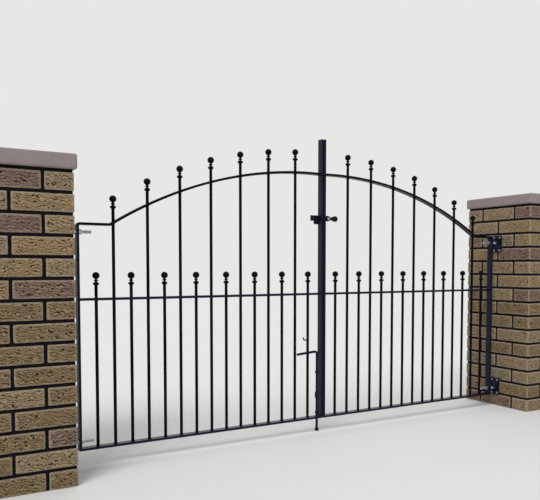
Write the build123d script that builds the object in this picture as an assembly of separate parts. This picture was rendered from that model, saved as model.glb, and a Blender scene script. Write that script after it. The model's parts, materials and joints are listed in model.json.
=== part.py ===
from build123d import *
from math import atan2, cos, radians, sin, sqrt, tan
import os

# Double-leaf driveway gate with an arched top, hung between two brick piers.
# Millimetres. X runs along the gate, Y goes away from the street, Z is up.
# The origin is on the ground, half way between the piers, in the gate's plane.

# Piers
opening_width = 2440.0
pier_size = 440.0
course_height = 76.3
course_count = 15
joint_width = 12.0
joint_depth = 5.0
brick_width = 102.0
coping_height = 55.0
coping_overhang = 10.0
coping_rounding = 8.0

# Leaves
ground_clearance = 69.0
hinge_side_gap = 55.0
meeting_gap = 6.0
flat_thickness = 10.0
flat_depth = 30.0
mid_rail_height = 606.0
shoulder_height = 903.0
arch_height = 1175.0
meeting_stile_height = 1333.0
arch_crown_offset = 69.0
arch_past_bar = 14.0
corner_bend_radius = 13.0

# Bars and ball finials
bar_diameter = 13.0
spaces_per_leaf = 16
bar_above_rail = 49.0
hole_clearance = 0.25
collar_diameter = 24.0
collar_height = 15.0
collar_land = 6.0
bead_diameter = 17.0
bead_height = 8.0
bead_land = 3.0
neck_diameter = 9.0
neck_height = 1.5
ball_diameter = 29.0

# Hinges
hinge_inset = 37.0
hinge_plate_width = 60.0
hinge_plate_height = 95.0
hinge_plate_thickness = 6.0
hinge_plate_short_end = 42.0
hinge_plate_corner = 4.0
pin_diameter = 12.0
pin_to_pier = 28.0
pin_past_eye = 10.0
pin_bend_radius = 12.0
pin_collar_diameter = 20.0
pin_collar_thickness = 2.0
pin_clearance = 0.3
eye_diameter = 30.0
eye_thickness = 12.0
eye_edge = 1.5
eye_tail_length = 50.0
nut_width = 18.0
outer_nut_thickness = 8.0
inner_nut_thickness = 10.0
thread_clearance = 0.2

# Latch
latch_height = 963.0
latch_plate_height = 26.0
latch_plate_thickness = 3.0
latch_pivot_offset = 48.0
latch_pivot_diameter = 8.0
latch_pivot_clearance = 0.2
latch_pivot_head_diameter = 16.0
latch_pivot_head_thickness = 5.0
latch_pivot_head_rounding = 1.5
latch_pivot_key_size = 6.0
latch_pivot_key_depth = 3.0
latch_pivot_nut_thickness = 6.0
latch_arm_thickness = 5.0
latch_arm_height = 16.0
latch_arm_reach = 2.5
latch_side_clearance = 0.8
latch_knob_offset = 90.0
latch_knob_length = 33.0
latch_knob_height = 27.0
keeper_length = 52.0
keeper_channel_length = 26.0
keeper_tongue_reach = 1.0
keeper_wall = 3.0
keeper_channel_depth = 8.0
keeper_top_clearance = 0.6
keeper_drop = 17.0
keeper_corner = 5.0

# Drop bolt
bolt_diameter = 12.0
bolt_to_leaf = 12.0
bolt_clearance = 0.3
guide_diameter = 18.0
guide_height = 12.0
lower_guide_height = 21.0
upper_guide_height = 218.0
bolt_collar_height = 107.0
bolt_collar_diameter = 20.0
bolt_collar_length = 26.0
bolt_handle_height = 320.0
bolt_handle_length = 100.0
bolt_handle_droop = 8.5
bolt_handle_bend = 14.0
bolt_bend_margin = 0.5
bolt_handle_turn = 20.0
bolt_end_rounding = 2.0
hook_height = 379.0
hook_wire_diameter = 7.0
hook_bend_radius = 8.0
hook_lip = 11.0
hook_clearance = 1.0
weld_clearance = 0.05
socket_diameter = 19.0
socket_bore = 14.0
socket_height = 12.0
bolt_above_socket = 0.8

# Worked out from the sizes above
half_opening = opening_width / 2
pier_height = course_height * course_count
brick_height = course_height - joint_width
stile_outer = half_opening - hinge_side_gap
stile_inner = stile_outer - flat_thickness
meeting_edge = meeting_gap / 2
meeting_back = meeting_edge + flat_thickness
bar_pitch = (stile_outer - meeting_edge - flat_thickness) / spaces_per_leaf
leaf_bottom = ground_clearance
bar_foot = leaf_bottom + flat_thickness
mid_rail_top = leaf_bottom + mid_rail_height
shoulder_top = leaf_bottom + shoulder_height
arch_top = leaf_bottom + arch_height
meeting_top = leaf_bottom + meeting_stile_height
rail_rear = flat_depth / 2
bar_hole = bar_diameter + 2 * hole_clearance
pin_x = half_opening - pin_to_pier
plate_face = half_opening - hinge_plate_thickness

# Each leaf's arch is rolled to one radius. It springs from the shoulder just past
# the second bar from the hinges, and its crown is a little short of the meeting stile.
spring_x = stile_outer - flat_thickness / 2 - 2 * bar_pitch + arch_past_bar
arch_run = spring_x - arch_crown_offset
arch_rise = arch_top - shoulder_top
arch_radius = (arch_run**2 + arch_rise**2) / (2 * arch_rise)
arch_centre = arch_top - flat_thickness / 2 - arch_radius

latch_z = leaf_bottom + latch_height
bracket_rear = rail_rear + latch_plate_thickness
arm_front = bracket_rear + latch_side_clearance
arm_rear = arm_front + latch_arm_thickness

bolt_x = -(meeting_edge + flat_thickness / 2)
bolt_y = rail_rear + bolt_to_leaf
bolt_tip = socket_height + bolt_above_socket
handle_z = leaf_bottom + bolt_handle_height
handle_joint_z = handle_z - bolt_handle_bend
hook_x = -(stile_outer - flat_thickness / 2 - (spaces_per_leaf - 1) * bar_pitch)


def block(x_range, y_range, z_range):
    """A rectangular solid between two limits on each axis."""
    size = [high - low for low, high in (x_range, y_range, z_range)]
    centre = [(high + low) / 2 for low, high in (x_range, y_range, z_range)]
    return Pos(*centre) * Box(*size)


def upright(x, y, z_low, z_high, diameter):
    """A vertical round bar."""
    height = z_high - z_low
    return Pos(x, y, (z_low + z_high) / 2) * Cylinder(diameter / 2, height)


def along_y(x, z, y_low, y_high, diameter):
    """A round bar that runs from the street side to the inner side."""
    middle = Pos(x, (y_low + y_high) / 2, z)
    return middle * Rot(90, 0, 0) * Cylinder(diameter / 2, y_high - y_low)


def bent_rod(path, diameter):
    """A round rod along a path that starts at its first point."""
    start = Plane(origin=path @ 0, z_dir=path % 0)
    return sweep(start * Circle(diameter / 2), path=path)


def on_side(side, solid):
    """A solid made for the right leaf, mirrored when it is wanted on the left."""
    if side < 0:
        return mirror(solid, about=Plane.YZ)
    return solid


def bar_places(first):
    """Distances from the gate's middle of every other bar, counted from the hinges."""
    start = stile_outer - flat_thickness / 2
    return [start - number * bar_pitch for number in range(first, spaces_per_leaf, 2)]


short_bar_places = bar_places(1)
tall_bar_places = bar_places(2)


def arch_above(x, offset):
    """Height of the arch's curve at x, offset from the middle of the flat bar."""
    return arch_centre + sqrt((arch_radius + offset) ** 2 - (x - arch_crown_offset) ** 2)


def arch_point(angle, offset):
    """A point of the arch, at an angle from its crown."""
    radius = arch_radius + offset
    return (arch_crown_offset + radius * sin(angle), arch_centre + radius * cos(angle))


def arch_at_height(height, offset):
    """Distance from the gate's middle at which the arch comes down to a height."""
    return arch_crown_offset + sqrt((arch_radius + offset) ** 2 - (height - arch_centre) ** 2)


# Piers and copings
def brick_course():
    """One course: two long bricks on each of two sides, and a shorter one between them."""
    course = Box(pier_size, pier_size, brick_height)
    face = pier_size / 2
    beside_long = face - brick_width - joint_width / 2
    for side in (-1, 1):
        course -= Pos(side * face, 0, 0) * Box(2 * joint_depth, joint_width, brick_height)
        for place in (-beside_long, beside_long):
            course -= Pos(place, side * face, 0) * Box(joint_width, 2 * joint_depth, brick_height)
    return course


def pier(side):
    """Courses of brick, each turned against the next, on a core of recessed mortar."""
    core_size = pier_size - 2 * joint_depth
    brickwork = Pos(0, 0, pier_height / 2) * Box(core_size, core_size, pier_height)
    straight = brick_course()
    for course in range(course_count):
        from_top = course_count - 1 - course
        turn = 90 if (from_top % 2 == 0) == (side > 0) else 0
        brickwork += Pos(0, 0, course * course_height + brick_height / 2) * Rot(0, 0, turn) * straight
    return Pos(side * (half_opening + pier_size / 2), 0, 0) * brickwork


def coping(side):
    width = pier_size + 2 * coping_overhang
    centre_x = side * (half_opening + pier_size / 2)
    slab = Pos(centre_x, 0, pier_height + coping_height / 2) * Box(width, width, coping_height)
    return fillet(slab.edges(), coping_rounding)


# Flat bar frame of a leaf
def hinge_stile():
    stile = block(
        (stile_inner, stile_outer),
        (-rail_rear, rail_rear),
        (leaf_bottom, shoulder_top - corner_bend_radius),
    )
    for height in hinge_heights:
        middle = Pos((stile_inner + stile_outer) / 2, 0, height)
        hole = Cylinder((pin_diameter + 2 * thread_clearance) / 2, 2 * flat_thickness)
        stile -= middle * Rot(0, 90, 0) * hole
    return stile


def meeting_stile():
    return block((meeting_edge, meeting_back), (-rail_rear, rail_rear), (leaf_bottom, meeting_top))


def bottom_rail():
    return block((meeting_back, stile_inner), (-rail_rear, rail_rear), (leaf_bottom, bar_foot))


def mid_rail():
    rail = block(
        (meeting_back, stile_inner),
        (-rail_rear, rail_rear),
        (mid_rail_top - flat_thickness, mid_rail_top),
    )
    for x in short_bar_places + tall_bar_places:
        rail -= upright(x, 0, mid_rail_top - 2 * flat_thickness, mid_rail_top + flat_thickness, bar_hole)
    return rail


def top_rail():
    """Shoulder and arch in one bent flat bar, turned down at the hinge stile."""
    half = flat_thickness / 2
    shoulder_low = shoulder_top - flat_thickness
    bend_x = stile_outer - corner_bend_radius
    bend_z = shoulder_top - corner_bend_radius
    inner_bend = corner_bend_radius - flat_thickness
    turn = sin(radians(45))
    outer_spring = arch_at_height(shoulder_top, half)
    inner_spring = arch_at_height(shoulder_low, -half)
    crown_out = (meeting_back, arch_above(meeting_back, half))
    crown_in = (meeting_back, arch_above(meeting_back, -half))
    mid_angle = atan2(arch_run, shoulder_top - arch_centre) / 2
    outline = [
        ThreePointArc(crown_out, arch_point(mid_angle, half), (outer_spring, shoulder_top)),
        Line((outer_spring, shoulder_top), (bend_x, shoulder_top)),
        ThreePointArc(
            (bend_x, shoulder_top),
            (bend_x + corner_bend_radius * turn, bend_z + corner_bend_radius * turn),
            (stile_outer, bend_z),
        ),
        Line((stile_outer, bend_z), (stile_inner, bend_z)),
        ThreePointArc(
            (stile_inner, bend_z),
            (bend_x + inner_bend * turn, bend_z + inner_bend * turn),
            (bend_x, shoulder_low),
        ),
        Line((bend_x, shoulder_low), (inner_spring, shoulder_low)),
        ThreePointArc((inner_spring, shoulder_low), arch_point(mid_angle, -half), crown_in),
        Line(crown_in, crown_out),
    ]
    face = Plane.XZ * make_face(outline)
    rail = extrude(face, amount=rail_rear, both=True)
    for x in tall_bar_places:
        height = arch_above(x, 0)
        rail -= upright(x, 0, height - 3 * flat_thickness, height + 3 * flat_thickness, bar_hole)
    return rail


# Bars and finials
def bar_top(x, tall):
    if tall:
        return arch_above(x, flat_thickness / 2) + bar_above_rail
    return mid_rail_top + bar_above_rail


def bars(places, tall):
    return [upright(x, 0, bar_foot, bar_top(x, tall), bar_diameter) for x in places]


def ball_finial():
    """A turned collar, bead and ball, standing at the origin."""
    shaft = bar_diameter / 2
    collar = collar_diameter / 2
    neck = neck_diameter / 2
    bead = bead_diameter / 2
    ball = ball_diameter / 2
    collar_low = (collar_height - collar_land) / 2
    bead_foot = collar_height + neck_height
    bead_slope = (bead_height - bead_land) / 2
    bead_head = bead_foot + bead_height
    ball_foot = bead_head + neck_height
    ball_centre = ball_foot + sqrt(ball**2 - neck**2)
    turned = Polyline(
        (0, ball_centre + ball),
        (0, 0),
        (shaft, 0),
        (collar, collar_low),
        (collar, collar_low + collar_land),
        (neck, collar_height),
        (neck, bead_foot),
        (bead, bead_foot + bead_slope),
        (bead, bead_head - bead_slope),
        (neck, bead_head),
        (neck, ball_foot),
    )
    ball_side = ThreePointArc((neck, ball_foot), (ball, ball_centre), (0, ball_centre + ball))
    outline = [turned, ball_side]
    return revolve(Plane.XZ * make_face(outline), axis=Axis.Z)


def finials(places, tall):
    turned = ball_finial()
    return [Pos(x, 0, bar_top(x, tall)) * turned for x in places]


# Hinges
bottom_hinge = leaf_bottom + hinge_inset
top_hinge = shoulder_top - hinge_inset
hinge_heights = (bottom_hinge, top_hinge)


def hinge_plate(upper):
    """Wall plate with its pin: the lower pin points up, the upper one points down."""
    width = hinge_plate_width
    middle = hinge_plate_height / 2 - hinge_plate_short_end
    plate = Pos((plate_face + half_opening) / 2, 0, middle) * Box(hinge_plate_thickness, width, hinge_plate_height)
    plate = fillet(plate.edges().filter_by(Axis.X), hinge_plate_corner)
    collar_top = -eye_thickness / 2 - pin_clearance
    arm_z = collar_top - pin_collar_thickness - pin_bend_radius
    tip_z = eye_thickness / 2 + pin_past_eye
    path = FilletPolyline(
        (plate_face, 0, arm_z),
        (pin_x, 0, arm_z),
        (pin_x, 0, tip_z),
        radius=pin_bend_radius,
    )
    pin = bent_rod(path, pin_diameter)
    collar = upright(pin_x, 0, collar_top - pin_collar_thickness, collar_top, pin_collar_diameter)
    fitting = plate + pin + collar
    if upper:
        fitting = mirror(fitting, about=Plane.XY)
    return Pos(0, 0, top_hinge if upper else bottom_hinge) * fitting


def hex_nut(x_low, thickness, height):
    """A nut on the eye bolt, threaded along X."""
    nut = extrude(RegularPolygon(nut_width / 2, 6, major_radius=False), amount=thickness)
    nut -= Pos(0, 0, thickness / 2) * Cylinder((pin_diameter + 2 * thread_clearance) / 2, 2 * thickness)
    return Pos(x_low, 0, height) * Rot(0, 90, 0) * nut


def eye_bolt(height):
    """Eye round the pin, its shank through the hinge stile, and a nut on each side."""
    eye = upright(pin_x, 0, height - eye_thickness / 2, height + eye_thickness / 2, eye_diameter)
    eye = chamfer(eye.edges(), eye_edge)
    tail_end = stile_inner - eye_tail_length
    shank = Pos((tail_end + pin_x) / 2, 0, height) * Rot(0, 90, 0)
    bolt = eye + shank * Cylinder(pin_diameter / 2, pin_x - tail_end)
    bolt -= upright(pin_x, 0, height - eye_diameter, height + eye_diameter, pin_diameter + 2 * pin_clearance)
    outer_nut = hex_nut(stile_outer, outer_nut_thickness, height)
    inner_nut = hex_nut(stile_inner - inner_nut_thickness, inner_nut_thickness, height)
    return [bolt, outer_nut, inner_nut]


# Latch
def latch_bracket():
    """Plate on the inner edge of the right meeting stile, with a round end at the pivot."""
    half = latch_plate_height / 2
    plate = block(
        (meeting_edge, latch_pivot_offset),
        (rail_rear, bracket_rear),
        (latch_z - half, latch_z + half),
    )
    plate += along_y(latch_pivot_offset, latch_z, rail_rear, bracket_rear, latch_plate_height)
    bore = latch_pivot_diameter + latch_pivot_clearance
    return plate - along_y(latch_pivot_offset, latch_z, 0, 2 * bracket_rear, bore)


def latch_pivot():
    """Bolt with its head to the street and its nut on the inner side."""
    x = latch_pivot_offset
    head_front = rail_rear - latch_pivot_head_thickness
    head = along_y(x, latch_z, head_front, rail_rear, latch_pivot_head_diameter)
    head = fillet(head.edges().sort_by(Axis.Y)[0], latch_pivot_head_rounding)
    key = extrude(RegularPolygon(latch_pivot_key_size / 2, 6, major_radius=False), amount=latch_pivot_key_depth)
    head -= Pos(x, head_front, latch_z) * Rot(-90, 0, 0) * key
    shank_end = arm_rear + latch_pivot_clearance + latch_pivot_nut_thickness
    shank = along_y(x, latch_z, rail_rear, shank_end, latch_pivot_diameter)
    nut = along_y(x, latch_z, arm_rear + latch_pivot_clearance, shank_end, latch_pivot_head_diameter)
    return head + shank + nut


def latch_arm():
    """Arm from its tip in the gap between the leaves, past the pivot, to the thumb knob."""
    half = latch_arm_height / 2
    arm = block(
        (-latch_arm_reach, latch_knob_offset),
        (arm_front, arm_rear),
        (latch_z - half, latch_z + half),
    )
    arm += along_y(latch_pivot_offset, latch_z, arm_front, arm_rear, latch_plate_height)
    knob_half = (latch_knob_length - latch_knob_height) / 2
    for end in (-knob_half, knob_half):
        arm += along_y(latch_knob_offset + end, latch_z, arm_front, arm_rear, latch_knob_height)
    bore = latch_pivot_diameter + 2 * latch_pivot_clearance
    return arm - along_y(latch_pivot_offset, latch_z, 0, 2 * arm_rear, bore)


def latch_keeper():
    """Plate on the left meeting stile, folded below into a channel for the arm's tip."""
    half = latch_plate_height / 2
    wall_top = latch_z - latch_arm_height / 2 - keeper_top_clearance
    floor_top = wall_top - keeper_drop
    floor_low = floor_top - keeper_wall
    channel_rear = bracket_rear + keeper_channel_depth + keeper_wall
    channel_left = -meeting_edge - keeper_channel_length
    plate = block(
        (-meeting_edge - keeper_length, -meeting_edge),
        (rail_rear, bracket_rear),
        (latch_z - half, latch_z + half),
    )
    channel = block((channel_left, keeper_tongue_reach), (rail_rear, channel_rear), (floor_low, wall_top))
    lower_left = channel.edges().filter_by(Axis.Y).group_by(Axis.Z)[0].sort_by(Axis.X)[0]
    channel = fillet(lower_left, keeper_corner)
    channel -= block(
        (channel_left - keeper_wall, keeper_tongue_reach + keeper_wall),
        (bracket_rear, channel_rear - keeper_wall),
        (floor_top, wall_top + keeper_wall),
    )
    return plate + channel


# Drop bolt
def bolt_guide(height):
    """Strap with a round back, welded to the inner edge of the left meeting stile."""
    z_low = leaf_bottom + height - guide_height / 2
    z_high = z_low + guide_height
    half = guide_diameter / 2
    guide = upright(bolt_x, bolt_y, z_low, z_high, guide_diameter)
    guide += block((bolt_x - half, bolt_x + half), (rail_rear, bolt_y), (z_low, z_high))
    bore = bolt_diameter + 2 * bolt_clearance
    return guide - upright(bolt_x, bolt_y, z_low - guide_height, z_high + guide_height, bore)


def drop_bolt_rod():
    rod = upright(bolt_x, bolt_y, bolt_tip, handle_joint_z, bolt_diameter)
    rod = fillet(rod.edges().group_by(Axis.Z)[0], bolt_end_rounding)
    collar_z = leaf_bottom + bolt_collar_height
    half = bolt_collar_length / 2
    return rod + upright(bolt_x, bolt_y, collar_z - half, collar_z + half, bolt_collar_diameter)


def drop_bolt_handle():
    """The bent top end of the rod, turned a little away from the bars and drooping."""
    reach = bolt_handle_length
    turn = radians(bolt_handle_turn)
    bend_radius = (bolt_handle_bend - bolt_bend_margin) / tan(radians(90 + bolt_handle_droop) / 2)
    end = (
        bolt_x - reach * cos(turn),
        bolt_y + reach * sin(turn),
        handle_z - reach * tan(radians(bolt_handle_droop)),
    )
    path = FilletPolyline(
        (bolt_x, bolt_y, handle_joint_z),
        (bolt_x, bolt_y, handle_z),
        end,
        radius=bend_radius,
    )
    return bent_rod(path, bolt_diameter)


def bolt_hook():
    """Wire hook on the inner side of the bar beside the meeting stile."""
    wire = hook_wire_diameter
    z = leaf_bottom + hook_height
    lip_y = bolt_y + bolt_diameter / 2 + hook_clearance + wire / 2
    path = FilletPolyline(
        (hook_x, 0, z),
        (hook_x, lip_y, z),
        (hook_x, lip_y, z + hook_lip),
        radius=hook_bend_radius,
    )
    hook = bent_rod(path, wire)
    bar = upright(hook_x, 0, z - bar_diameter, z + bar_diameter, bar_diameter + 2 * weld_clearance)
    return hook - bar


def ground_socket():
    """Short tube in the ground that the drop bolt enters."""
    socket = upright(bolt_x, bolt_y, 0, socket_height, socket_diameter)
    return socket - upright(bolt_x, bolt_y, -socket_height, 2 * socket_height, socket_bore)


# All the pieces
def as_list(solids):
    return solids if isinstance(solids, list) else [solids]


pieces = {}
for side, name in ((-1, "left"), (1, "right")):
    leaf = {
        "top_hinge_plate": hinge_plate(True),
        "bottom_hinge_plate": hinge_plate(False),
        "hinge_stile": hinge_stile(),
        "meeting_stile": meeting_stile(),
        "bottom_rail": bottom_rail(),
        "mid_rail": mid_rail(),
        "top_rail": top_rail(),
        "short_bars": bars(short_bar_places, False),
        "tall_bars": bars(tall_bar_places, True),
        "short_finials": finials(short_bar_places, False),
        "tall_finials": finials(tall_bar_places, True),
        "top_eye_bolt": eye_bolt(top_hinge),
        "bottom_eye_bolt": eye_bolt(bottom_hinge),
    }
    pieces[name + "_pier"] = pier(side)
    pieces[name + "_coping"] = coping(side)
    for piece, solids in leaf.items():
        pieces[name + "_" + piece] = [on_side(side, solid) for solid in as_list(solids)]

pieces["latch_keeper"] = latch_keeper()
pieces["latch_bracket"] = latch_bracket()
pieces["latch_pivot"] = latch_pivot()
pieces["latch_arm"] = latch_arm()
pieces["lower_bolt_guide"] = bolt_guide(lower_guide_height)
pieces["upper_bolt_guide"] = bolt_guide(upper_guide_height)
pieces["bolt_hook"] = bolt_hook()
pieces["drop_bolt_rod"] = drop_bolt_rod()
pieces["drop_bolt_handle"] = drop_bolt_handle()
pieces["ground_socket"] = ground_socket()

os.makedirs("parts", exist_ok=True)
for name, solids in pieces.items():
    export_step(Compound(children=as_list(solids)), os.path.join("parts", name + ".step"))
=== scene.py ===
import json
import math
import random

import bmesh
import bpy
from mathutils import Matrix, Vector, noise


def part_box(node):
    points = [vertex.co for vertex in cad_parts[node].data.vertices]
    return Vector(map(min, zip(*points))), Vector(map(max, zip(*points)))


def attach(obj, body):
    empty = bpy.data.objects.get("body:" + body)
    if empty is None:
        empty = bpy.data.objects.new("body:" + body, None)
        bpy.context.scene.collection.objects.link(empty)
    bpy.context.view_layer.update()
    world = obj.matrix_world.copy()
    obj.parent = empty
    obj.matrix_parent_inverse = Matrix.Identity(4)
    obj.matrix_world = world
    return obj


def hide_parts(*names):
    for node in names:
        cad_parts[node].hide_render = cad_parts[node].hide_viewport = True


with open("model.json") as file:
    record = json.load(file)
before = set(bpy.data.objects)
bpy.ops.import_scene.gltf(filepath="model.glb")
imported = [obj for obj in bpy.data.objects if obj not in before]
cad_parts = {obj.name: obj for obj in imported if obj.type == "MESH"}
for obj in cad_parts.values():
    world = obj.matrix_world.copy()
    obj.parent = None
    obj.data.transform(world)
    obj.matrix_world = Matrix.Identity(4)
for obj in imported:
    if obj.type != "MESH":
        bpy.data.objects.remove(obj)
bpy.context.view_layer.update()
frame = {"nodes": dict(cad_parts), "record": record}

MM = 0.001

# The photograph's view: from in front of the left pier, turned to the right and slightly down
PHOTO_WIDTH = 540
PHOTO_HEIGHT = 500
FOCAL_PIXELS = 654.7
PRINCIPAL_ROW = 300.55
SENSOR_WIDTH = 36
CAMERA_PLACE = (-1.797, -2.600, 0.795)
CAMERA_YAW = math.radians(30.136)
CAMERA_PITCH = math.radians(2.876)
CAMERA_REACH = 200

# Floor, backdrop and light
FLOOR_REACH = 40
FLOOR_COLOUR = (0.80, 0.79, 0.77, 1.0)
BACKDROP_COLOUR = (0.80, 0.80, 0.79, 1.0)
SKY_COLOUR = (0.94, 0.96, 1.0, 1.0)
SKY_STRENGTH = 0.55
# Each lamp's name, its direction from the gate, its width in degrees and its strength
LAMPS = (
    ("key", (-0.64, -0.56, 0.90), 30, 1.6),
    ("back", (0.50, 0.70, 0.80), 50, 0.5),
)

# Brickwork
COURSES = 15
JOINT = 12 * MM
JOINT_DEPTH = 5 * MM
BRICK_WIDTH = 102 * MM
ARRIS = 4 * MM
# Width of the painted highlight along each arris
ARRIS_HIGHLIGHT_WIDTH = 1.5 * ARRIS
BRICK_CELL = 11 * MM
LEAST_SHARE_ALONG = 0.98
FACE_WAVE_SCALE = 38
FACE_WAVE_DEPTH = 1.1 * MM
UPRIGHT_WAVE_SHARE = 0.6
FACE_WAVE_SEED = 11
WAVE_SHIFT_BY_TONE = (31, 17, 53)
LEAST_PROUD = -1.2 * MM
MOST_PROUD = 0.2 * MM
SEED_OF_PIER = {"left": 7, "right": 19}

# How the bricks are sorted, from the top course down:
# P purple-brown, B buff, D a darker buff, G golden, N grey-green. D fills most of the lower
# courses as painted shade, darker towards the ground.
# The left pier's front is read from its gate corner outwards, and the right pier's reveal
# from back to front.
LETTERS_OF_PIER = {
    "left": "BPB GB GPB GB BGB PG DDB DD DDD DD DBD DD PDD BD DD".split(),
    "right": "BBP BG PNG GP BBB NG PBP DD BDD BB BDD NB BNB DD PP".split(),
}
TONE_OF_BRICK = {
    "P": (0.02, 0.18),
    "B": (0.28, 0.46),
    "D": (0.54, 0.62),
    "G": (0.72, 0.82),
    "N": (0.94, 1.0),
}
OTHER_BRICKS = "PBBDDGGB"

# Clay of the bricks by their tone, and the specks, painted highlights and painted shade that lie
# on it
CLAY_BY_TONE = [
    (0.00, (0.142, 0.082, 0.086)),
    (0.20, (0.156, 0.089, 0.082)),
    (0.26, (0.262, 0.193, 0.120)),
    (0.48, (0.288, 0.210, 0.120)),
    # The darker buff of D, from 0.52 to 0.64, is painted shade where it is laid on the lower
    # courses
    (0.52, (0.190, 0.130, 0.066)),
    (0.64, (0.168, 0.113, 0.056)),
    (0.70, (0.300, 0.202, 0.102)),
    (0.86, (0.275, 0.184, 0.092)),
    (0.92, (0.205, 0.180, 0.120)),
]
PATTERN_SHIFT_BY_TONE = (7.0, 5.0, 3.0)
# Painted highlight: paler clay laid on soft patches of the face and on the lip below each crease
PAINTED_HIGHLIGHT_CLAY = (0.550, 0.412, 0.220)
CLAY_SPECKS = (0.085, 0.058, 0.036)
CREASE_SHADE = (0.13, 0.09, 0.075)
# Painted highlight on the eased arrises, where light catches the edges
PAINTED_ARRIS_HIGHLIGHT = (0.400, 0.330, 0.235)
WHITE = (1.0, 1.0, 1.0)

# Creases of the bricks: their tilt, and for each output the phase of its wave and the span
# of the wave's height over which it rises from 0 to 1
CREASE_TILT = math.radians(7)
CREASE_OUTPUTS = (
    ("Crease", 0.0, 0.73, 0.95),
    ("Lip", 1.7, 0.64, 0.98),
)

# Ironwork
ARCH_CROWN_OFFSET = 69 * MM
ARCH_RISE = 272 * MM
ARCH_PAST_BAR = 14 * MM
SHORT_BARS = 8
TALL_BARS = 7
BAR_RADIUS = 6.5 * MM
FLAT_THICKNESS = 10 * MM
WELD = 2.2 * MM
WELD_SEGMENTS = 6
WELD_STEPS = 14
WELD_LUMP_SCALE = 420
WELD_LUMP_HEIGHT = 0.5 * MM
WELD_SEED = 3
SHANK_RADIUS = 6 * MM
THREADED_LENGTH = 40 * MM
THREAD_PITCH = 1.75 * MM
THREAD_DEPTH = 0.6 * MM
THREAD_SUNK_SHARE = 0.2
THREAD_STEPS_PER_TURN = 14
PLATE_THICKNESS = 6 * MM
SCREW_RADIUS = 5 * MM
SCREW_HEIGHT = 3.2 * MM
SCREW_INSET = 11 * MM
SCREW_SEGMENTS = 20
SCREW_RINGS = 12
KEY_DEPTH = 3 * MM
# A black disc on the floor of the key recess, as painted shade
KEY_SHADE_RADIUS = 2.9 * MM
KEY_SHADE_THICKNESS = 0.4 * MM
BLUISH_GLINT = (0.52, 0.62, 1.0, 1.0)

# Places of the sockets that share a name with others of their node
MIX_SHARE = 0
MIX_FIRST = 6
MIX_SECOND = 7
MIX_RESULT = 2
FIRST_SHADER = 1
SECOND_SHADER = 2


# Nodes
def give(tree, target, value):
    """Feeds an input from a socket, or sets it to a number or colour."""
    if isinstance(value, bpy.types.NodeSocket):
        tree.links.new(value, target)
    else:
        target.default_value = value


def give_all(tree, node, values):
    """Feeds or sets a node's inputs by their names."""
    for name, value in values.items():
        give(tree, node.inputs[name], value)


def math_node(tree, operation, first, second):
    """A Math node on two sockets or numbers."""
    made = tree.nodes.new("ShaderNodeMath")
    made.operation = operation
    give(tree, made.inputs[0], first)
    give(tree, made.inputs[1], second)
    return made.outputs[0]


def ranged(tree, value, low, high, new_low=0.0, new_high=1.0):
    """A smooth Map Range from one span to another."""
    made = tree.nodes.new("ShaderNodeMapRange")
    made.interpolation_type = "SMOOTHSTEP"
    limits = {"From Min": low, "From Max": high, "To Min": new_low, "To Max": new_high}
    give_all(tree, made, {"Value": value, **limits})
    return made.outputs["Result"]


def noise_node(tree, vector, scale, detail, roughness=0.55, distortion=0.0):
    """The value of a Noise texture."""
    made = tree.nodes.new("ShaderNodeTexNoise")
    given = {
        "Vector": vector,
        "Scale": scale,
        "Detail": detail,
        "Roughness": roughness,
        "Distortion": distortion,
    }
    give_all(tree, made, given)
    return made.outputs["Fac"]


# Node groups shared by the materials
def new_group(name, inputs, outputs):
    """An empty shader node group with named sockets."""
    group = bpy.data.node_groups.new(name, "ShaderNodeTree")
    for socket, kind, value in inputs:
        made = group.interface.new_socket(name=socket, in_out="INPUT", socket_type=kind)
        if value is not None:
            made.default_value = value
    for socket, kind in outputs:
        group.interface.new_socket(name=socket, in_out="OUTPUT", socket_type=kind)
    return group, group.nodes.new("NodeGroupInput"), group.nodes.new("NodeGroupOutput")


def mottle_group():
    """Soft cloudy variation between two values."""
    group, given, result = new_group(
        "mottle",
        [
            ("Vector", "NodeSocketVector", None),
            ("Scale", "NodeSocketFloat", 20.0),
            ("Low", "NodeSocketFloat", 0.0),
            ("High", "NodeSocketFloat", 1.0),
        ],
        [("Value", "NodeSocketFloat")],
    )
    cloud = noise_node(group, given.outputs["Vector"], given.outputs["Scale"], detail=4.0)
    value = ranged(group, cloud, 0.3, 0.7, given.outputs["Low"], given.outputs["High"])
    group.links.new(value, result.inputs["Value"])
    return group


def grain_group():
    """Height of a fine grain on a coarser unevenness."""
    group, given, result = new_group(
        "grain",
        [
            ("Vector", "NodeSocketVector", None),
            ("Fine Scale", "NodeSocketFloat", 900.0),
            ("Coarse Scale", "NodeSocketFloat", 90.0),
            ("Fine Share", "NodeSocketFloat", 0.5),
        ],
        [("Height", "NodeSocketFloat")],
    )
    vector = given.outputs["Vector"]
    fine = noise_node(group, vector, given.outputs["Fine Scale"], detail=2.0)
    coarse = noise_node(group, vector, given.outputs["Coarse Scale"], detail=2.0)
    fine_share = given.outputs["Fine Share"]
    coarse_share = math_node(group, "SUBTRACT", 1.0, fine_share)
    height = math_node(
        group,
        "ADD",
        math_node(group, "MULTIPLY", fine, fine_share),
        math_node(group, "MULTIPLY", coarse, coarse_share),
    )
    group.links.new(height, result.inputs["Height"])
    return group


def crease_lines(tree, vector, scale, phase):
    """Wavy lines that run along a brick, as a wave that peaks on each line."""
    wave = tree.nodes.new("ShaderNodeTexWave")
    wave.wave_type = "BANDS"
    wave.bands_direction = "Z"
    given = {
        "Vector": vector,
        "Scale": scale,
        "Distortion": 12.0,
        "Detail": 2.0,
        "Detail Scale": 1.5,
        "Detail Roughness": 0.6,
        "Phase Offset": phase,
    }
    give_all(tree, wave, given)
    return wave.outputs["Fac"]


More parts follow.
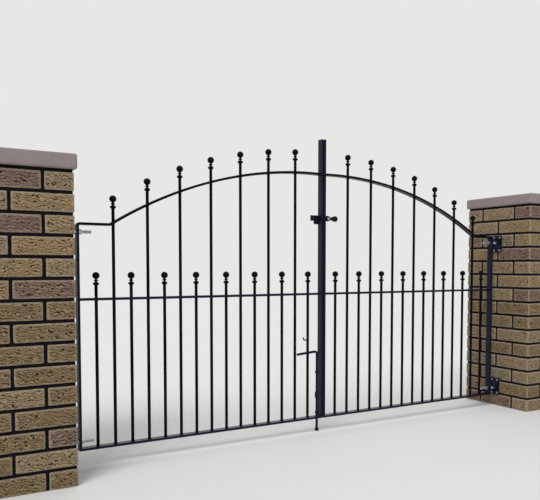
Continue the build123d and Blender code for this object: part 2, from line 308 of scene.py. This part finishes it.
def crease_group():
    """Broken wavy creases of a rustic brick: Crease is 1 in them, Lip is 1 on the strip just
    below, where a painted highlight goes.
    """
    group, given, result = new_group(
        "creases",
        [
            ("Vector", "NodeSocketVector", None),
            ("Scale", "NodeSocketFloat", 28.0),
        ],
        [("Crease", "NodeSocketFloat"), ("Lip", "NodeSocketFloat")],
    )
    tilted = group.nodes.new("ShaderNodeMapping")
    tilted.inputs["Rotation"].default_value = (CREASE_TILT, -CREASE_TILT, 0)
    group.links.new(given.outputs["Vector"], tilted.inputs["Vector"])
    vector = tilted.outputs["Vector"]
    depth = noise_node(group, vector, scale=52.0, detail=2.0, roughness=0.5, distortion=0.6)
    over_middle = math_node(group, "SUBTRACT", depth, 0.52)
    swell = math_node(group, "MULTIPLY", over_middle, 0.8)
    for name, phase, low, high in CREASE_OUTPUTS:
        wave = crease_lines(group, vector, given.outputs["Scale"], phase)
        line = ranged(group, math_node(group, "ADD", wave, swell), low, high)
        group.links.new(line, result.inputs[name])
    return group


GROUPS = {"mottle": mottle_group(), "grain": grain_group(), "creases": crease_group()}


# Materials
class Finish:
    """A material being built: its shader, its object coordinates and shortcuts to add nodes."""

    def __init__(self, name):
        self.material = bpy.data.materials.new(name)
        self.material.use_nodes = True
        self.tree = self.material.node_tree
        self.shader = self.tree.nodes["Principled BSDF"]
        self.place = self.tree.nodes.new("ShaderNodeTexCoord").outputs["Object"]

    def group(self, name, vector=None, **values):
        """The first output of a shared group. An underscore is a space of a socket's name."""
        node = self.tree.nodes.new("ShaderNodeGroup")
        node.node_tree = GROUPS[name]
        self.tree.links.new(vector or self.place, node.inputs["Vector"])
        for socket, number in values.items():
            node.inputs[socket.replace("_", " ")].default_value = number
        return node.outputs[0]

    def attribute(self, name):
        """A node that reads a value which the mesh carries."""
        node = self.tree.nodes.new("ShaderNodeAttribute")
        node.attribute_name = name
        return node

    def ramp(self, value, stops):
        """A colour looked up by value."""
        node = self.tree.nodes.new("ShaderNodeValToRGB")
        self.tree.links.new(value, node.inputs["Fac"])
        points = node.color_ramp.elements
        while len(points) < len(stops):
            points.new(0.5)
        for point, (position, colour) in zip(points, stops):
            point.position = position
            point.color = (*colour, 1.0)
        return node.outputs["Color"]

    def mix(self, share, first, second, blend="MIX"):
        """Two colours mixed, each a socket or three numbers."""
        node = self.tree.nodes.new("ShaderNodeMix")
        node.data_type = "RGBA"
        node.blend_type = blend
        give(self.tree, node.inputs[MIX_SHARE], share)
        for index, colour in ((MIX_FIRST, first), (MIX_SECOND, second)):
            if not isinstance(colour, bpy.types.NodeSocket):
                colour = (*colour, 1.0)
            give(self.tree, node.inputs[index], colour)
        return node.outputs[MIX_RESULT]

    def bump(self, height, strength, distance):
        """Makes the surface uneven by a height."""
        node = self.tree.nodes.new("ShaderNodeBump")
        give_all(self.tree, node, {"Strength": strength, "Distance": distance, "Height": height})
        self.tree.links.new(node.outputs["Normal"], self.shader.inputs["Normal"])

    def feed(self, socket, value):
        """Feeds or sets one of the shader's inputs."""
        give(self.tree, self.shader.inputs[socket], value)


def black_paint(name, dark, light, gloss):
    """Satin paint over black steel, a little uneven."""
    finish = Finish(name)
    cloud = finish.group("mottle", Scale=14.0)
    finish.feed("Base Color", finish.mix(cloud, dark, light))
    finish.feed("Roughness", finish.group("mottle", Scale=60.0, Low=0.28, High=0.40))
    finish.feed("Specular IOR Level", gloss)
    finish.feed("Specular Tint", BLUISH_GLINT)
    height = finish.group("grain", Fine_Scale=700.0, Coarse_Scale=120.0, Fine_Share=0.4)
    finish.bump(height, strength=0.12, distance=0.3 * MM)
    return finish.material


def zinc_plating():
    """Grey plated steel, clouded and fairly dull."""
    finish = Finish("zinc plating")
    cloud = finish.group("mottle", Scale=120.0)
    finish.feed("Base Color", finish.mix(cloud, (0.30, 0.33, 0.39), (0.52, 0.55, 0.60)))
    finish.feed("Metallic", 1.0)
    finish.feed("Roughness", finish.group("mottle", Scale=200.0, Low=0.28, High=0.46))
    height = finish.group("grain", Fine_Scale=1200.0, Coarse_Scale=300.0, Fine_Share=0.5)
    finish.bump(height, strength=0.15, distance=0.3 * MM)
    return finish.material


def brick_place(finish, tone):
    """Object coordinates shifted by each brick's tone, so that its pattern is its own."""
    shifted = finish.tree.nodes.new("ShaderNodeVectorMath")
    shifted.operation = "MULTIPLY_ADD"
    for index, value in enumerate((tone.outputs["Vector"], PATTERN_SHIFT_BY_TONE, finish.place)):
        give(finish.tree, shifted.inputs[index], value)
    return shifted.outputs["Vector"]


def rustic_brick():
    """Buff bricks, some purple-brown or grey-green, with fine creases in painted shade, and
    painted highlights on patches of the face, below each crease and on the arrises.
    """
    finish = Finish("rustic brick")
    tree = finish.tree
    tone = finish.attribute("tone")
    arris = finish.attribute("arris")
    vector = brick_place(finish, tone)
    crease = finish.group("creases", vector)
    lip_highlight = crease.node.outputs["Lip"]

    colour = finish.ramp(tone.outputs["Fac"], CLAY_BY_TONE)
    # Painted highlights: paler clay in soft patches and on the lip below each crease, where light
    # catches the rough face
    painted_highlight = finish.mix(0.5, colour, PAINTED_HIGHLIGHT_CLAY)
    light = finish.group("mottle", vector, Scale=40.0, Low=0.0, High=0.42)
    colour = finish.mix(light, colour, painted_highlight)
    specks = finish.group("mottle", vector, Scale=110.0, Low=0.0, High=0.36)
    colour = finish.mix(specks, colour, CLAY_SPECKS)
    colour = finish.mix(math_node(tree, "MULTIPLY", lip_highlight, 0.62), colour, painted_highlight)
    shade = finish.mix(crease, WHITE, CREASE_SHADE)
    colour = finish.mix(1.0, colour, shade, blend="MULTIPLY")
    # The arrises are painted paler as a highlight, where light catches the eased edges
    pale = ranged(tree, arris.outputs["Fac"], low=0.55, high=1.0, new_high=0.45)
    finish.feed("Base Color", finish.mix(pale, colour, PAINTED_ARRIS_HIGHLIGHT))
    finish.feed("Roughness", 0.9)
    finish.feed("Specular IOR Level", 0.3)

    grain = finish.group("grain", vector, Fine_Scale=700.0, Coarse_Scale=160.0, Fine_Share=0.35)
    raised = math_node(tree, "MULTIPLY", grain, 0.55)
    sunk = math_node(tree, "MULTIPLY", crease, 0.7)
    height = math_node(tree, "SUBTRACT", raised, sunk)
    finish.bump(height, strength=0.8, distance=2.2 * MM)
    return finish.material


def dark_mortar():
    """Rough mortar, almost black between the bricks."""
    finish = Finish("dark recessed mortar")
    cloud = finish.group("mottle", Scale=60.0)
    dark, light = (0.0030, 0.0024, 0.0036), (0.0095, 0.0080, 0.0110)
    finish.feed("Base Color", finish.mix(cloud, dark, light))
    finish.feed("Roughness", 0.95)
    finish.feed("Specular IOR Level", 0.12)
    height = finish.group("grain", Fine_Scale=600.0, Coarse_Scale=150.0, Fine_Share=0.6)
    finish.bump(height, strength=0.6, distance=1.2 * MM)
    return finish.material


def coping_stone():
    """Smooth mauve-brown cast coping with soft clouds and a few small pits."""
    finish = Finish("mauve coping stone")
    cloud = finish.group("mottle", Scale=7.0)
    colour = finish.mix(cloud, (0.262, 0.209, 0.210), (0.298, 0.242, 0.242))
    specks = noise_node(finish.tree, finish.place, scale=260.0, detail=1.0, roughness=0.4)
    pits = ranged(finish.tree, specks, low=0.70, high=0.76)
    finish.feed("Base Color", finish.mix(pits, colour, (0.07, 0.05, 0.055)))
    finish.feed("Roughness", 0.85)
    finish.feed("Specular IOR Level", 0.3)
    grain = finish.group("grain", Fine_Scale=800.0, Coarse_Scale=40.0, Fine_Share=0.5)
    sunk = math_node(finish.tree, "MULTIPLY", pits, 0.6)
    height = math_node(finish.tree, "SUBTRACT", grain, sunk)
    finish.bump(height, strength=0.35, distance=1.0 * MM)
    return finish.material


# One black satin paint in two copies: this one's bluish lift is a painted sheen on the flat faces,
# the next is darkened as painted shade
SHEEN_LIT_BLACK_PAINT = black_paint(
    "black satin paint with painted bluish sheen",
    dark=(0.0048, 0.0056, 0.0118),
    light=(0.0084, 0.0098, 0.0190),
    gloss=0.19,
)
SHADED_BLACK_PAINT = black_paint(
    "black satin paint darkened as painted shade",
    dark=(0.0012, 0.0013, 0.0020),
    light=(0.0026, 0.0028, 0.0044),
    gloss=0.09,
)
ZINC = zinc_plating()
BRICK = rustic_brick()
MORTAR = dark_mortar()
COPING = coping_stone()
FINISH_OF_SLOT = {"black_paint": SHEEN_LIT_BLACK_PAINT, "zinc_plate": ZINC, "brick": BRICK, "coping_stone": COPING}


def dress_frame():
    """Gives the carried-over nodes their slots' finishes, and bars and arches a darker copy of the
    black paint as painted shade.
    """
    slots = {part["node"]: part["material_slot"] for part in frame["record"]["subparts"]}
    for name, node in frame["nodes"].items():
        # Bars, finials and the arched top rail take the darker copy of the paint, as painted shade
        deep = name.endswith(("_bars", "_finials", "_top_rail"))
        for slot in node.material_slots:
            slot.material = SHADED_BLACK_PAINT if deep else FINISH_OF_SLOT[slots[name]]


# New pieces
def finished_piece(name, mesh, material, body, smooth_angle=None):
    """Turns a bmesh into an object that rides on a body and takes a slot's finish."""
    bmesh.ops.recalc_face_normals(mesh, faces=mesh.faces)
    data = bpy.data.meshes.new(name)
    mesh.to_mesh(data)
    mesh.free()
    data.materials.append(material)
    if smooth_angle is not None:
        data.shade_smooth()
        data.set_sharp_from_angle(angle=math.radians(smooth_angle))
    piece = bpy.data.objects.new(name, data)
    bpy.context.scene.collection.objects.link(piece)
    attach(piece, body)
    return piece


def join_into(target, mesh):
    """Moves the whole of one bmesh into another."""
    data = bpy.data.meshes.new("part")
    mesh.to_mesh(data)
    mesh.free()
    target.from_mesh(data)
    bpy.data.meshes.remove(data)


def edges_along(mesh, axis):
    """The edges of a mesh that run along one axis."""
    found = []
    for edge in mesh.edges:
        run = edge.verts[1].co - edge.verts[0].co
        if abs(run[axis]) > LEAST_SHARE_ALONG * run.length:
            found.append(edge)
    return found


def arris_weight(point, size):
    """1 at the edges of a brick's faces, where the arris is painted paler as a highlight, and 0 on
    the faces.
    """
    inset = sorted(half - abs(place) for half, place in zip(size / 2, point))
    return 1.0 if inset[1] < ARRIS_HIGHLIGHT_WIDTH else 0.0


def rustic_brick_mesh(centre, size, tone):
    """One brick with eased arrises and an uneven face."""
    mesh = bmesh.new()
    tone_layer = mesh.verts.layers.float.new("tone")
    arris_layer = mesh.verts.layers.float.new("arris")
    bmesh.ops.create_cube(mesh, size=1.0)
    bmesh.ops.scale(mesh, vec=size, verts=mesh.verts)
    bmesh.ops.bevel(
        mesh,
        geom=mesh.edges[:],
        offset=ARRIS,
        segments=2,
        profile=0.5,
        affect="EDGES",
        material=-1,
    )
    for axis, length in enumerate(size):
        cuts = round(length / BRICK_CELL) - 1
        edges = edges_along(mesh, axis)
        bmesh.ops.subdivide_edges(mesh, edges=edges, cuts=cuts, use_grid_fill=True)
    shift = Vector([tone * step for step in WAVE_SHIFT_BY_TONE])
    for vert in mesh.verts:
        vert[tone_layer] = tone
        vert[arris_layer] = arris_weight(vert.co, size)
        wave = noise.noise_vector(vert.co * FACE_WAVE_SCALE + shift)
        vert.co += Vector((wave.x, wave.y, wave.z * UPRIGHT_WAVE_SHARE)) * FACE_WAVE_DEPTH
        vert.co += centre
    return mesh


def bricks_of_course(half, height, long_on_sides):
    """Centre and size of each brick of a course, measured from the pier's middle.

    Two long bricks make the face on two opposite sides, and a short one closes the other two.
    """
    long_brick = half - JOINT / 2
    short_brick = 2 * half - 2 * BRICK_WIDTH - 2 * JOINT
    to_face = half - BRICK_WIDTH / 2
    bricks = []
    for face in (-1, 1):
        for end in (-1, 1):
            centre = Vector((face * to_face, end * (long_brick / 2 + JOINT / 2), 0))
            bricks.append((centre, Vector((BRICK_WIDTH, long_brick, height))))
        centre = Vector((0, face * to_face, 0))
        bricks.append((centre, Vector((short_brick, BRICK_WIDTH, height))))
    if not long_on_sides:
        bricks = [(centre.yxz, size.yxz) for centre, size in bricks]
    return bricks


def sort_bricks(side, bricks, letters, chance):
    """A tone for each brick: as the letters say on the face that is seen, else by chance."""
    depth, along = (1, 0) if side == "left" else (0, 1)
    face = min(centre[depth] - size[depth] / 2 for centre, size in bricks)
    seen = []
    for centre, size in bricks:
        if centre[depth] - size[depth] / 2 < face + BRICK_WIDTH / 2:
            seen.append(centre)
    seen.sort(key=lambda centre: -centre[along])
    tones = {}
    for centre, letter in zip(seen, letters):
        tones[tuple(centre)] = chance.uniform(*TONE_OF_BRICK[letter])
    sorted_tones = []
    for centre, size in bricks:
        by_chance = chance.uniform(*TONE_OF_BRICK[chance.choice(OTHER_BRICKS)])
        sorted_tones.append(tones.get(tuple(centre), by_chance))
    return sorted_tones


def build_pier(side, headers_on_front):
    """Single bricks of every course round a recessed core of mortar."""
    low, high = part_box(side + "_pier")
    middle = (low + high) / 2
    half = (high.x - low.x) / 2
    course_height = (high.z - low.z) / COURSES
    brick_height = course_height - JOINT
    chance = random.Random(SEED_OF_PIER[side])
    mesh = bmesh.new()
    mesh.verts.layers.float.new("tone")
    mesh.verts.layers.float.new("arris")
    for course in range(COURSES):
        centre_z = low.z + course * course_height + brick_height / 2
        from_top = COURSES - 1 - course
        long_on_sides = (from_top % 2 == 0) == headers_on_front
        laid = bricks_of_course(half, brick_height, long_on_sides)
        tones = sort_bricks(side, laid, LETTERS_OF_PIER[side][from_top], chance)
        for (centre, size), tone in zip(laid, tones):
            proud = chance.uniform(LEAST_PROUD, MOST_PROUD)
            place = centre * (1 + proud / half) + Vector((middle.x, middle.y, centre_z))
            join_into(mesh, rustic_brick_mesh(place, size, tone))
    for vert in mesh.verts:
        vert.co.z = max(vert.co.z, low.z)
    bricks = finished_piece(side + "_pier_bricks", mesh, BRICK, "piers", smooth_angle=50)
    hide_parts(side + "_pier")
    core = bmesh.new()
    bmesh.ops.create_cube(core, size=1.0)
    width = 2 * (half - JOINT_DEPTH)
    bmesh.ops.scale(core, vec=(width, width, high.z - low.z), verts=core.verts)
    bmesh.ops.translate(core, vec=middle, verts=core.verts)
    finished_piece(side + "_pier_mortar", core, MORTAR, "piers")


def bar_lines(side, node, count):
    """X of each bar in a node of equally spaced bars."""
    low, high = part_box(f"{side}_{node}")
    first = low.x + BAR_RADIUS
    step = (high.x - low.x - 2 * BAR_RADIUS) / (count - 1)
    return [first + step * number for number in range(count)]


def weld_ring(x, z, tilt, chance):
    """A small uneven bead of weld round a bar, tilted with the rail that it lies on."""
    mesh = bmesh.new()
    bmesh.ops.create_circle(mesh, segments=WELD_SEGMENTS, radius=WELD)
    upright = Matrix.Rotation(math.pi / 2, 3, "X")
    bmesh.ops.rotate(mesh, cent=(0, 0, 0), matrix=upright, verts=mesh.verts)
    bmesh.ops.translate(mesh, vec=(BAR_RADIUS, 0, 0), verts=mesh.verts)
    bmesh.ops.spin(
        mesh,
        geom=mesh.verts[:] + mesh.edges[:],
        cent=(0, 0, 0),
        axis=(0, 0, 1),
        angle=math.tau,
        steps=WELD_STEPS,
        use_merge=True,
    )
    for vert in mesh.verts:
        # Each bead, and each of its points, reads the noise in another place
        shift = Vector((x * 9, z * 5, chance.random() * 9))
        lump = noise.noise(vert.co * WELD_LUMP_SCALE + shift)
        away = Vector((vert.co.x, vert.co.y, 0)).normalized()
        vert.co += away * lump * WELD_LUMP_HEIGHT
    turn = Matrix.Rotation(tilt, 4, "Y")
    place = Matrix.Translation((x, 0, z))
    bmesh.ops.transform(mesh, matrix=place @ turn, verts=mesh.verts)
    return mesh


def build_welds(side):
    """Weld beads where the bars stand on the bottom rail and pass the mid rail and arch."""
    chance = random.Random(WELD_SEED)
    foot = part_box(side + "_bottom_rail")[1].z
    mid_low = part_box(side + "_mid_rail")[0].z
    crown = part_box(side + "_top_rail")[1].z
    sign = -1 if side == "left" else 1
    tall = bar_lines(side, "tall_bars", TALL_BARS)
    short = bar_lines(side, "short_bars", SHORT_BARS)
    welds = bmesh.new()
    for x in tall + short:
        join_into(welds, weld_ring(x, foot, 0.0, chance))
        join_into(welds, weld_ring(x, mid_low, 0.0, chance))
    half_chord = max(abs(x) for x in tall) + ARCH_PAST_BAR - ARCH_CROWN_OFFSET
    arch_radius = (half_chord ** 2 + ARCH_RISE ** 2) / (2 * ARCH_RISE)
    centre_z = crown - FLAT_THICKNESS / 2 - arch_radius
    under_radius = arch_radius - FLAT_THICKNESS / 2
    for x in tall:
        slope = math.asin((abs(x) - ARCH_CROWN_OFFSET) / under_radius)
        height = centre_z + under_radius * math.cos(slope)
        join_into(welds, weld_ring(x, height, sign * slope, chance))
    name = side + "_welds"
    finished_piece(name, welds, SHADED_BLACK_PAINT, side + "_leaf", smooth_angle=60)


def build_threads(side, level):
    """The helical thread on the tail of an eye bolt."""
    low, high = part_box(f"{side}_{level}_eye_bolt")
    centre_z = (low.z + high.z) / 2
    start = high.x - THREADED_LENGTH if side == "left" else low.x
    steps = round(THREADED_LENGTH / THREAD_PITCH * THREAD_STEPS_PER_TURN)
    mesh = bmesh.new()
    bmesh.ops.create_circle(mesh, segments=3, radius=THREAD_DEPTH)
    to_profile = SHANK_RADIUS - THREAD_DEPTH * THREAD_SUNK_SHARE
    bmesh.ops.translate(mesh, vec=(0, to_profile, 0), verts=mesh.verts)
    bmesh.ops.spin(
        mesh,
        geom=mesh.verts[:] + mesh.edges[:],
        cent=(0, 0, 0),
        axis=(1, 0, 0),
        dvec=(THREAD_PITCH / THREAD_STEPS_PER_TURN, 0, 0),
        angle=math.tau * steps / THREAD_STEPS_PER_TURN,
        steps=steps,
    )
    bmesh.ops.holes_fill(mesh, edges=mesh.edges, sides=4)
    bmesh.ops.translate(mesh, vec=(start, 0, centre_z), verts=mesh.verts)
    name = f"{side}_{level}_bolt_thread"
    finished_piece(name, mesh, ZINC, side + "_leaf", smooth_angle=40)


def screw_head():
    """A domed screw head with a flat underside at the origin."""
    head = bmesh.new()
    bmesh.ops.create_uvsphere(
        head,
        u_segments=SCREW_SEGMENTS,
        v_segments=SCREW_RINGS,
        radius=SCREW_RADIUS,
    )
    bmesh.ops.bisect_plane(
        head,
        geom=head.verts[:] + head.edges[:] + head.faces[:],
        plane_co=(0, 0, 0),
        plane_no=(0, 0, 1),
        clear_inner=True,
    )
    bmesh.ops.remove_doubles(head, verts=head.verts, dist=0.01 * MM)
    bmesh.ops.holes_fill(head, edges=head.edges, sides=SCREW_SEGMENTS)
    bmesh.ops.scale(head, vec=(1, 1, SCREW_HEIGHT / SCREW_RADIUS), verts=head.verts)
    return head


def build_screws(side, level):
    """Four domed screw heads at the corners of a wall plate."""
    low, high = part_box(f"{side}_{level}_hinge_plate")
    inward = 1 if side == "left" else -1
    plate_x = low.x + PLATE_THICKNESS if side == "left" else high.x - PLATE_THICKNESS
    turn = Matrix.Rotation(inward * math.pi / 2, 4, "Y")
    mesh = bmesh.new()
    for y in (low.y + SCREW_INSET, high.y - SCREW_INSET):
        for z in (low.z + SCREW_INSET, high.z - SCREW_INSET):
            head = screw_head()
            place = Matrix.Translation((plate_x, y, z))
            bmesh.ops.transform(head, matrix=place @ turn, verts=head.verts)
            join_into(mesh, head)
    name = f"{side}_{level}_plate_screws"
    finished_piece(name, mesh, ZINC, "piers", smooth_angle=50)


def build_key_recess_shade():
    """A black disc in the key recess of the latch pivot's head, painted shade for the dark of the
    recess.
    """
    low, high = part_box("latch_pivot")
    middle = (low + high) / 2
    mesh = bmesh.new()
    bmesh.ops.create_cone(
        mesh,
        cap_ends=True,
        segments=12,
        radius1=KEY_SHADE_RADIUS,
        radius2=KEY_SHADE_RADIUS,
        depth=KEY_SHADE_THICKNESS,
    )
    turn = Matrix.Rotation(math.pi / 2, 4, "X")
    shade_disc_y = low.y + KEY_DEPTH - KEY_SHADE_THICKNESS / 2
    place = Matrix.Translation((middle.x, shade_disc_y, middle.z))
    bmesh.ops.transform(mesh, matrix=place @ turn, verts=mesh.verts)
    finished_piece("latch_pivot_key_painted_shade", mesh, SHADED_BLACK_PAINT, "right_leaf")


# Studio
def build_floor():
    """The pale floor that the piers stand on."""
    mesh = bmesh.new()
    bmesh.ops.create_grid(mesh, x_segments=1, y_segments=1, size=FLOOR_REACH)
    data = bpy.data.meshes.new("studio_floor")
    mesh.to_mesh(data)
    mesh.free()
    finish = Finish("pale studio floor")
    finish.feed("Base Color", FLOOR_COLOUR)
    finish.feed("Roughness", 0.95)
    finish.feed("Specular IOR Level", 0.1)
    data.materials.append(finish.material)
    floor = bpy.data.objects.new("studio_floor", data)
    bpy.context.scene.collection.objects.link(floor)


def build_world():
    """Soft sky light, and a pale backdrop for the camera and for what the gate mirrors."""
    world = bpy.data.worlds.new("studio")
    bpy.context.scene.world = world
    world.use_nodes = True
    tree = world.node_tree
    sky = tree.nodes["Background"]
    give_all(tree, sky, {"Color": SKY_COLOUR, "Strength": SKY_STRENGTH})
    backdrop = tree.nodes.new("ShaderNodeBackground")
    backdrop.inputs["Color"].default_value = BACKDROP_COLOUR
    rays = tree.nodes.new("ShaderNodeLightPath").outputs
    mirrored = math_node(tree, "MAXIMUM", rays["Is Glossy Ray"], rays["Is Transmission Ray"])
    shown = math_node(tree, "MAXIMUM", rays["Is Camera Ray"], mirrored)
    mixed = tree.nodes.new("ShaderNodeMixShader")
    tree.links.new(shown, mixed.inputs["Fac"])
    tree.links.new(sky.outputs["Background"], mixed.inputs[FIRST_SHADER])
    tree.links.new(backdrop.outputs["Background"], mixed.inputs[SECOND_SHADER])
    tree.links.new(mixed.outputs["Shader"], tree.nodes["World Output"].inputs["Surface"])


def build_lamps():
    """Wide, soft lamps from the street side and from behind the gate."""
    for name, direction, width, strength in LAMPS:
        light = bpy.data.lights.new(name, "SUN")
        light.angle = math.radians(width)
        light.energy = strength
        lamp = bpy.data.objects.new(name, light)
        lamp.rotation_euler = Vector(direction).to_track_quat("Z", "Y").to_euler()
        bpy.context.scene.collection.objects.link(lamp)


def build_camera():
    """The photograph's camera, with a shift for how the photograph is framed."""
    data = bpy.data.cameras.new("photo_camera")
    data.sensor_fit = "HORIZONTAL"
    data.sensor_width = SENSOR_WIDTH
    data.lens = FOCAL_PIXELS / PHOTO_WIDTH * SENSOR_WIDTH
    data.shift_y = (PRINCIPAL_ROW - PHOTO_HEIGHT / 2) / PHOTO_WIDTH
    data.clip_end = CAMERA_REACH
    camera = bpy.data.objects.new("photo_camera", data)
    camera.location = CAMERA_PLACE
    camera.rotation_euler = (math.pi / 2 - CAMERA_PITCH, 0, -CAMERA_YAW)
    bpy.context.scene.collection.objects.link(camera)
    bpy.context.scene.camera = camera


noise.seed_set(FACE_WAVE_SEED)
build_camera()
build_floor()
build_world()
build_lamps()
dress_frame()
build_pier("left", headers_on_front=True)
build_pier("right", headers_on_front=False)
for side in ("left", "right"):
    build_welds(side)
    for level in ("top", "bottom"):
        build_threads(side, level)
        build_screws(side, level)
build_key_recess_shade()

bpy.context.scene.view_settings.view_transform = "Standard"
